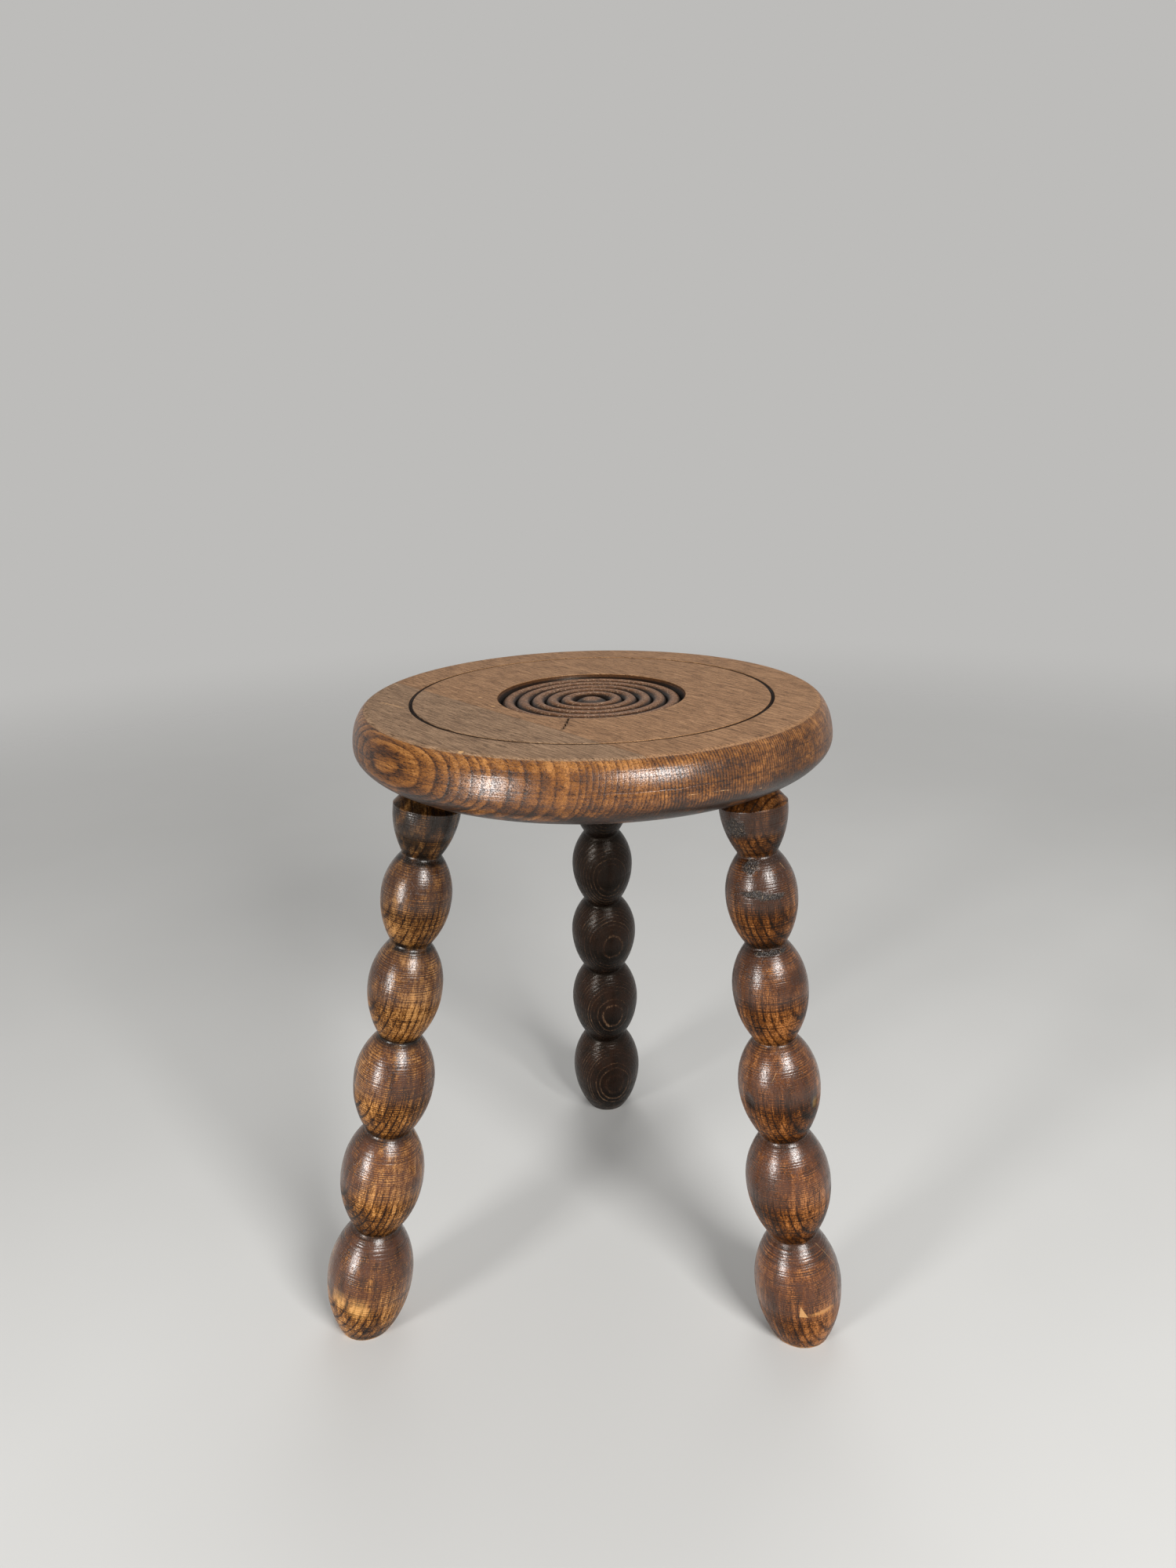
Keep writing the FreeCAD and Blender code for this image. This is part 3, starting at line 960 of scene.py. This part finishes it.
def leg_colour(net, grown, at, wood):
    """The wood's tones, dark in the turning lines, under its painted sheen, dirt and painted shade, and
    marks of age.
    """
    line = net.product(net.share("line"), net.mapped(at["shoulder"], 0.0, 1.0, 0.52, 0.7))
    amount = net.add(
        grown["amount"],
        line,
        (net.share("dark"), 0.7),
        (at["painted_sheen"], 0.1),
        (at["worn"], -0.34),
        net.mapped(at["flecks"], *FLECK_SPAN, -0.12, 0.16),
    )
    # The crust is pale on its ridges: flakes, and painted highlights
    crust = net.mixed(net.mapped(at["ridges"], 0.56, 0.7), CRUST, CRUST_FLAKE_AND_GLINT)
    colour = net.ramp(amount, wood["tones"])
    # In turn: painted sheen, dirt with painted shade, crust, wear, chips and scratches
    for share, strength, over in (
        ("painted_sheen", wood["painted_sheen_strength"], PAINTED_SHEEN_TONE),
        ("grime_and_shade", 1.0, GRIME_AND_SHADE),
        ("rough", 0.9, crust),
        ("worn", 0.26, wood["worn"]),
        ("chipped", 0.6, PALE_WOOD),
        ("scratched", 0.45, PALE_WOOD),
    ):
        colour = net.mixed(net.product(at[share], strength), colour, over)
    return colour


def leg_material(name):
    """Turned wood, dark in its lines and necks, with painted shade towards the seat and a painted dull
    sheen on its shoulders.
    """
    net = Net(bpy.data.materials.new(name + "_wood"))
    wood = WOODS[name]
    mouth, axes = leg_frame(LEG_PLACES[name])
    local = net.framed(net.place(), mouth, axes.T)
    at = leg_shares(net, local, wood, name)
    # The painted sheen on the shoulders hides the rings
    grown = grown_wood(net, local, wood, net.product(at["shoulder"], wood["hides"]))
    colour = leg_colour(net, grown, at, wood)
    roughness = net.add(
        net.mapped(grown["fibres"], 0.25, 0.75, 0.22, 0.36), (at["worn"], 0.1), (at["chipped"], 0.3)
    )
    crusted = net.product(at["rough"], at["ridges"])
    relief = net.add(grown["relief"], (at["flecks"], 0.05), (crusted, 0.9))
    coat = net.product(
        wood["coat"],
        net.mapped(at["shoulder"], 0.0, 0.6, 0.14, 1.0),
        net.rest(at["chipped"]),
        net.rest(net.product(at["grime_and_shade"], 0.4)),
        net.mapped(grown["pores"], 0.0, 1.0, 1.0, 0.55),
    )
    return net.finish(colour, roughness, relief, coat, wood["specular"])


# Marks on the seat, from its axis: pale scratches with their widths, and pale specks with radii
SEAT_SCRATCHES = [
    ([(-139.5, -7.7, 450.0), (-131.1, -15.0, 450.0), (-122.0, -24.3, 450.0)], 1.3),
    ([(51.4, -150.4, 428.2), (72.3, -141.6, 427.4), (95.0, -126.6, 423.2)], 0.45),
]
SEAT_SPECKS = [
    ((-74.6, -0.6, 450.0), 1.3), ((-63.8, -26.4, 449.6), 1.5), ((-74.4, -128.6, 449.8), 1.7),
    ((20.0, -146.5, 447.5), 0.9), ((96.0, 30.0, 450.0), 0.8), ((-20.0, 122.0, 450.0), 0.9),
]
CRACK_LINE = [(x, y, SEAT_HEIGHT) for x, y, _ in CRACK[::3]]
CRACK_LINE_WIDTH = 2.2
# Where a look of the seat starts and where it is full, in heights above the floor
TOP_HEIGHTS = (448.8, 449.3)
SUNK_HEIGHTS = (449.85, 449.4)
CRACK_HEIGHTS = (449.95, 449.6)
VARNISH_HEIGHTS = (449.5, 448.4)
RING_CREST_HEIGHTS = (444.9, 448.2)
SPECK_AND_GLINT_HEIGHTS = (446.3, 447.6)
AMBER_HEIGHTS = (441.5, 446.5)
SMUDGE_HEIGHTS = (431.0, 414.0)
THIN_VARNISH_HEIGHTS = (412.0, 426.0)
UNDERSIDE_HEIGHTS = (404.5, 403.0)
# The same in distances from the seat's axis, from a line or from a place
WALL_REACH = (59.8, 60.6)
GROOVE_REACH = (100.0, 102.0)
INNER_REACH = (126.0, 124.0)
JOINT_REACH = (0.45, 0.1)
SEAM_HEIGHT = 442.5
SEAM_REACH = (1.2, 0.2)
EYE_REACH = (60.0, 90.0)
POLISHED_PLACE = (10.0, -157.0, 430.0)
POLISHED_REACH = (90.0, 140.0)
# Cells a millimetre of the flecks and patches on the seat
SEAT_FLECK_RATES = (0.8, 0.8, 0.8)
SEAT_PATCH_RATES = (0.05, 0.05, 0.08)


def seat_shares(net, wood):
    """Where each point of the seat lies, its wood and its patterns."""
    local = net.vector("SUBTRACT", net.place(), tuple(SEAT_AXIS))
    x, y, height = net.parts(local)
    reach = net.measure("LENGTH", net.combined(x, y))
    hidden = net.mapped(net.measure("DISTANCE", local, EYE_PLACE), *EYE_REACH, 0.0, 0.25)
    flecks = net.noise(local, SEAT_FLECK_RATES, rough=0.65)
    patchy = net.noise(local, SEAT_PATCH_RATES)
    inputs = {"W": net.add((height, 0.75), (patchy, 1.5)), "Detail": 2.0, "Scale": 1.0}
    turned = net.first("TexNoise", inputs, noise_dimensions="1D")
    level = net.add(height, net.mapped(flecks, *WIDE_SPAN, -0.14, 0.14))
    across = net.measure("DOT_PRODUCT", local, (*polar(1, JOINT_AZIMUTH), 0.0))
    return {
        **grown_wood(net, local, wood, hidden),
        "local": local, "height": height, "reach": reach, "flecks": flecks, "patchy": patchy,
        "lines": net.mapped(turned, 0.54, 0.7),
        "flat": net.mapped(level, *TOP_HEIGHTS),
        "inner": net.mapped(reach, *INNER_REACH),
        "joint": net.mapped(net.apart(across, JOINT_OFFSET), *JOINT_REACH),
    }


def edge_colour(net, at, wood):
    """Turning lines, a paler rim with a dark seam, and a smudge of stain low down."""
    height, patchy = at["height"], at["patchy"]
    smudge = net.product(net.mapped(patchy, 0.32, 0.54), net.mapped(height, *SMUDGE_HEIGHTS))
    seam = net.mapped(net.apart(height, SEAM_HEIGHT), *SEAM_REACH)
    amount = net.add(
        at["amount"],
        (at["lines"], 0.12),
        (smudge, 0.56),
        (net.mapped(height, *AMBER_HEIGHTS), -0.13),
        (net.product(seam, net.mapped(patchy, 0.4, 0.6)), 0.14),
        net.mapped(at["flecks"], *FLECK_SPAN, -0.07, 0.1),
    )
    return net.ramp(amount, wood["tones"])


def top_colour(net, at, wood):
    """The flat top, worn dull, its grey partly a painted sheen."""
    amount = net.add(
        net.mapped(at["fibres"], 0.32, 0.68, 0.06, 0.62),
        (at["pores"], 0.38),
        net.mapped(at["patchy"], *WIDE_SPAN, -0.06, 0.06),
        net.mapped(at["flecks"], *FLECK_SPAN, -0.1, 0.12),
    )
    return net.ramp(amount, wood["top"])


def sunk_colour(net, at):
    """Dark stain and painted shade in the groove and the recess, with pale specks and painted highlights
    on the ring crests.
    """
    height, reach = at["height"], at["reach"]
    # Darker the lower it lies, on the recess's wall and in the groove: painted shade over the stain
    wall = net.mapped(reach, *WALL_REACH)
    level = net.add(
        net.mapped(height, *RING_CREST_HEIGHTS, smooth=False),
        (wall, -0.38),
        (net.mapped(reach, *GROOVE_REACH), -0.2),
    )
    colour = net.ramp(level, SUNK_TONES)
    colour = net.mixed(net.mapped(at["fibres"], 0.4, 0.7, 0.0, 0.6), colour, SUNK_FIBRE)
    colour = net.mixed(net.product(at["pores"], 0.6), colour, SUNK_PORE)
    # Pale specks on the ring crests, partly painted highlights
    specks_and_glints = net.product(
        net.mapped(at["flecks"], 0.54, 0.66), net.mapped(height, *SPECK_AND_GLINT_HEIGHTS), net.rest(wall)
    )
    return net.mixed(net.product(specks_and_glints, 0.65), colour, SPECK_AND_PAINTED_GLINT)


def marked_colour(net, at, colour):
    """The seat's colour with its glue joint, crack, scratches and specks."""
    local = at["local"]
    colour = net.mixed(net.product(at["joint"], at["flat"], 0.5), colour, JOINT_TONE)
    crack = net.product(
        net.near_line(local, CRACK_LINE, CRACK_LINE_WIDTH),
        net.mapped(at["height"], *CRACK_HEIGHTS, 0.45, 1.0),
    )
    colour = net.mixed(crack, colour, GRIME_AND_SHADE)
    broken = net.mapped(at["flecks"], 0.38, 0.58)
    pale = [net.product(net.near_line(local, *line), broken) for line in SEAT_SCRATCHES]
    pale += [net.near_point(local, *speck) for speck in SEAT_SPECKS]
    return net.mixed(net.product(net.most(pale), 0.7), colour, PALE_WOOD)


def seat_coat(net, at):
    """Varnish on the edge, thinner low down, in its pores and away from the polished front."""
    height = at["height"]
    from_polish = net.measure("DISTANCE", at["local"], POLISHED_PLACE)
    dulled = net.most([net.product(at["inner"], 0.75), net.product(at["pores"], 0.45)])
    return net.product(
        net.mapped(height, *VARNISH_HEIGHTS),
        net.rest(dulled),
        net.mapped(height, *THIN_VARNISH_HEIGHTS, 0.14, 1.0),
        net.mapped(from_polish, *POLISHED_REACH, 1.0, 0.35),
    )


def seat_material(name):
    """Edge under varnish, top worn dull with its grey partly a painted sheen, and groove and recess
    stained dark with painted shade.
    """
    net = Net(bpy.data.materials.new(name + "_wood"))
    wood = WOODS[name]
    at = seat_shares(net, wood)
    sunk = net.product(at["inner"], net.mapped(at["height"], *SUNK_HEIGHTS))
    under = net.mapped(at["height"], *UNDERSIDE_HEIGHTS)
    colour = net.mixed(at["flat"], edge_colour(net, at, wood), top_colour(net, at, wood))
    colour = net.mixed(sunk, colour, sunk_colour(net, at))
    # The flat underside is darkened
    colour = net.mixed(net.product(under, 0.6), colour, GRIME_AND_SHADE)
    colour = marked_colour(net, at, colour)
    roughness = net.mapped(at["fibres"], 0.25, 0.75, 0.27, 0.42)
    roughness = net.mapped(at["flat"], 0, 1, roughness, 0.56, smooth=False)
    relief = net.add(at["relief"], (at["flecks"], 0.05), (at["lines"], -0.04), (at["joint"], -0.06))
    return net.finish(colour, roughness, relief, seat_coat(net, at), wood["specular"])


# Stage

FLOOR_RADIUS = 6000.0
FLOOR_FADE = (900.0, 2600.0)
FLOOR_ROUGHNESS = 0.8
FLOOR_SPECKLE_RATES = (0.002, 0.002, 0.002)
FLOOR_TONES = (srgb(208, 207, 204), srgb(204, 203, 200))
PALE = srgb(189, 188, 186)
WHITE = srgb(255, 255, 255)
AMBIENT_LEVEL = 0.16


def build_floor():
    """A round pale floor that fades into the background far from the stool."""
    rim, _ = spun([(FLOOR_RADIUS, 0)], FLOOR_SEGMENTS)
    floor = new_mesh_object("floor", rim, [tuple(range(FLOOR_SEGMENTS))])
    net = Net(bpy.data.materials.new("floor"))
    place = net.place()
    speckle = net.mapped(net.noise(place, FLOOR_SPECKLE_RATES), *WIDE_SPAN)
    inputs = {"Base Color": net.mixed(speckle, *FLOOR_TONES), "Roughness": FLOOR_ROUGHNESS}
    surface = net.first("BsdfPrincipled", inputs)
    clear = net.first("BsdfTransparent")
    fade = net.mapped(net.measure("LENGTH", place), *FLOOR_FADE)
    mixed = net.first("MixShader", (fade, surface, clear))
    net.node("OutputMaterial", (mixed,))
    floor.data.materials.append(net.owner)


def build_world():
    """Even soft light from all round, and a pale background that varnish reflects too."""
    net = Net(bpy.data.worlds.new("studio"))
    lit = net.first("Background", (WHITE, AMBIENT_LEVEL))
    seen = net.first("Background", (PALE, 1.0))
    rays = net.node("LightPath").outputs
    kinds = ("Is Camera Ray", "Is Glossy Ray", "Is Transmission Ray")
    direct = net.most([rays[kind] for kind in kinds])
    mixed = net.first("MixShader", (direct, lit, seen))
    net.node("OutputWorld", (mixed,))
    bpy.context.scene.world = net.owner


# Soft boxes: azimuth, elevation and distance from their target, and size, in metres, then watts
LAMP_TARGET = (0.0, 0.0, 0.28)
LAMPS = [
    ("soft_box_left", (-134.0, 7.0, 2.2), (0.44, 0.92), 39.0),
    ("soft_box_right", (-62.0, 28.0, 2.2), (0.8, 0.72), 53.0),
    ("soft_box_back", (80.0, 58.0, 2.6), (1.6, 1.6), 20.0),
]


def build_lamps():
    for name, (azimuth, elevation, distance), size, power in LAMPS:
        light = bpy.data.lights.new(name, "AREA")
        light.shape = "RECTANGLE"
        light.size, light.size_y = size
        light.energy = power
        lamp = in_scene(name, light)
        level, rise = polar(1, elevation)
        towards = Vector((*polar(level, azimuth), rise))
        lamp.location = Vector(LAMP_TARGET) + towards * distance
        lamp.rotation_euler = (-towards).to_track_quat("-Z", "Y").to_euler()


def build_camera():
    """The photograph's camera, level but for a small roll."""
    data = bpy.data.cameras.new("camera")
    data.sensor_width = SENSOR_WIDTH
    data.lens = FOCAL_LENGTH_PIXELS * SENSOR_WIDTH / PHOTO_HEIGHT
    data.clip_start = CLIP_START * MM
    camera = in_scene("camera", data)
    pitch = Matrix.Rotation(math.radians(90 - CAMERA_PITCH), 4, "X")
    roll = Matrix.Rotation(math.radians(-CAMERA_ROLL), 4, "Z")
    camera.matrix_world = Matrix.Translation(Vector(CAMERA_PLACE) * MM) @ pitch @ roll
    bpy.context.scene.camera = camera


# The stool

LEG_SEED = 11


def dress(piece, node, material):
    """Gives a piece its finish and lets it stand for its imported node."""
    piece.data.materials.clear()
    piece.data.materials.append(material)
    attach(piece, "root")
    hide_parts(node)


def build_stool():
    for index, (name, place) in enumerate(LEG_PLACES.items()):
        dress(build_leg(name, place, LEG_SEED + index), name, leg_material(name))
    wide, narrow = build_boards()
    dress(wide, "seat_board_wide", seat_material("seat_board_wide"))
    dress(narrow, "seat_board_narrow", seat_material("seat_board_narrow"))


build_stool()
build_floor()
build_world()
build_lamps()
build_camera()
bpy.context.scene.view_settings.view_transform = "Standard"
